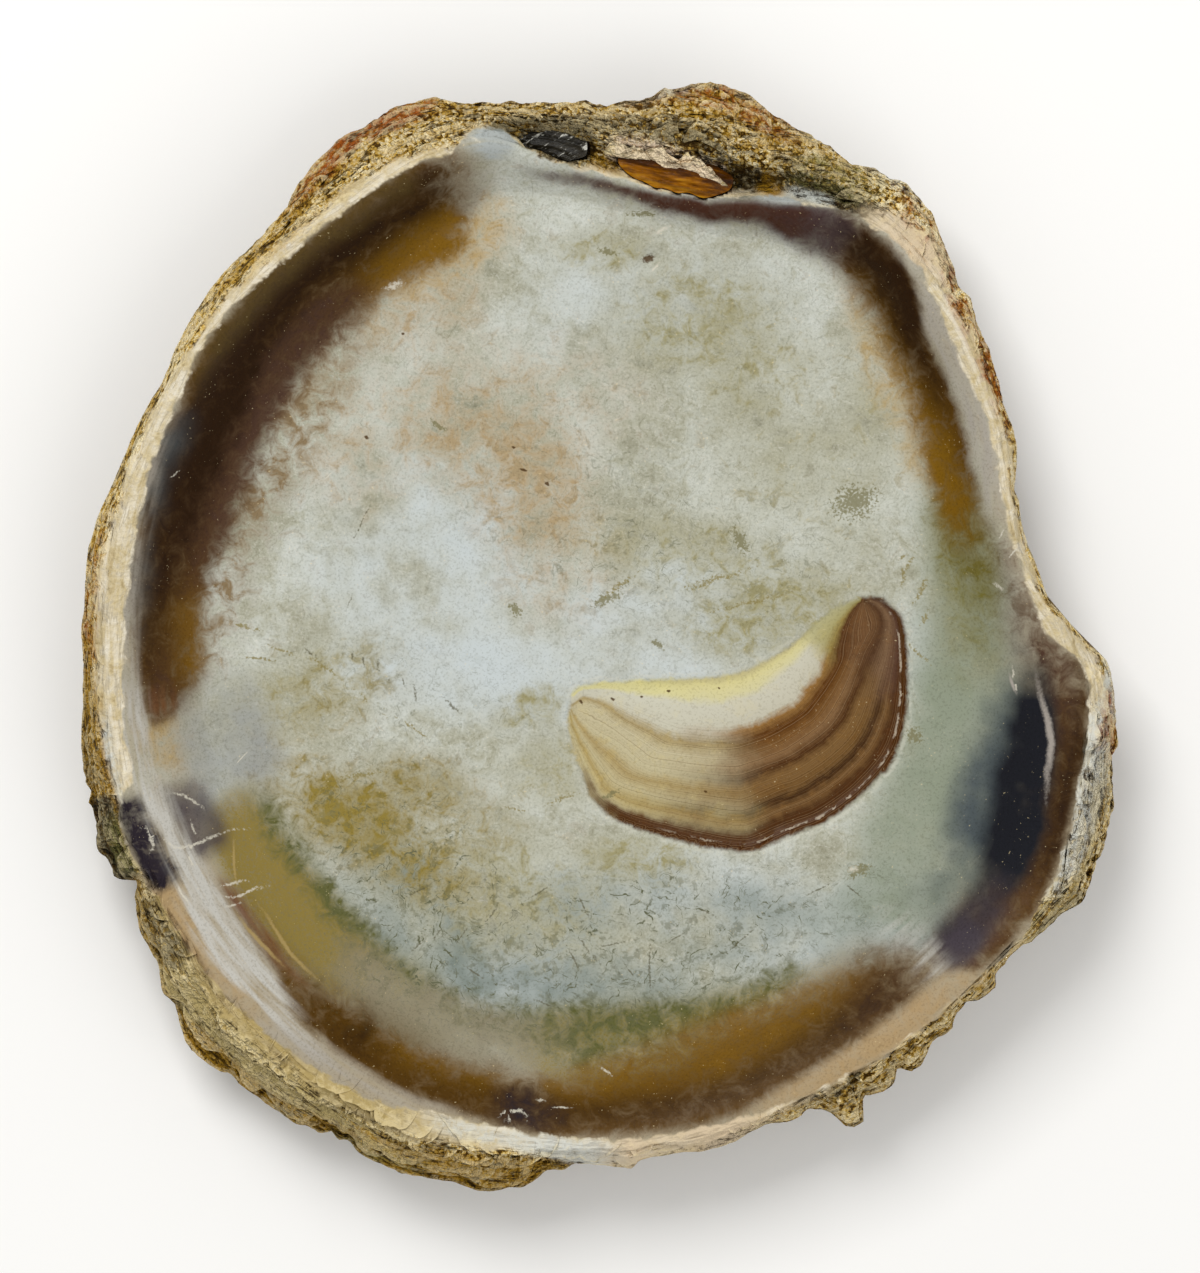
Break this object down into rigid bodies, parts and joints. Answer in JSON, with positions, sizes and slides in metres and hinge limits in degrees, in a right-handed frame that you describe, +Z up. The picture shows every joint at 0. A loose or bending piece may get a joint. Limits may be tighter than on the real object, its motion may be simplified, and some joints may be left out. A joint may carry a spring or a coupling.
{
  "type": "oyster shell",
  "caption": "Single oyster valve lying with its hollow inner face up: a shallow dish with a raised rim, a sunken muscle scar, a hinge plate and a stepped, worn underside.",
  "frame": {"origin": "on the resting plane, under the middle of the shell's box", "axes": "+Y towards the hinge, along the shell's length; +Z up, out of the hollow inner face"},
  "size_m": [0.0887, 0.0949, 0.0137],
  "materials": {
    "shell": "satin, pearly inside and chalky on the margin and underneath",
    "amber_ligament": "glossy, horny",
    "black_ligament": "satin, fibrous"
  },
  "bodies": {
    "root": {"valve": "shell", "ligament_amber": "amber_ligament", "ligament_black": "black_ligament"}
  },
  "joints": []
}
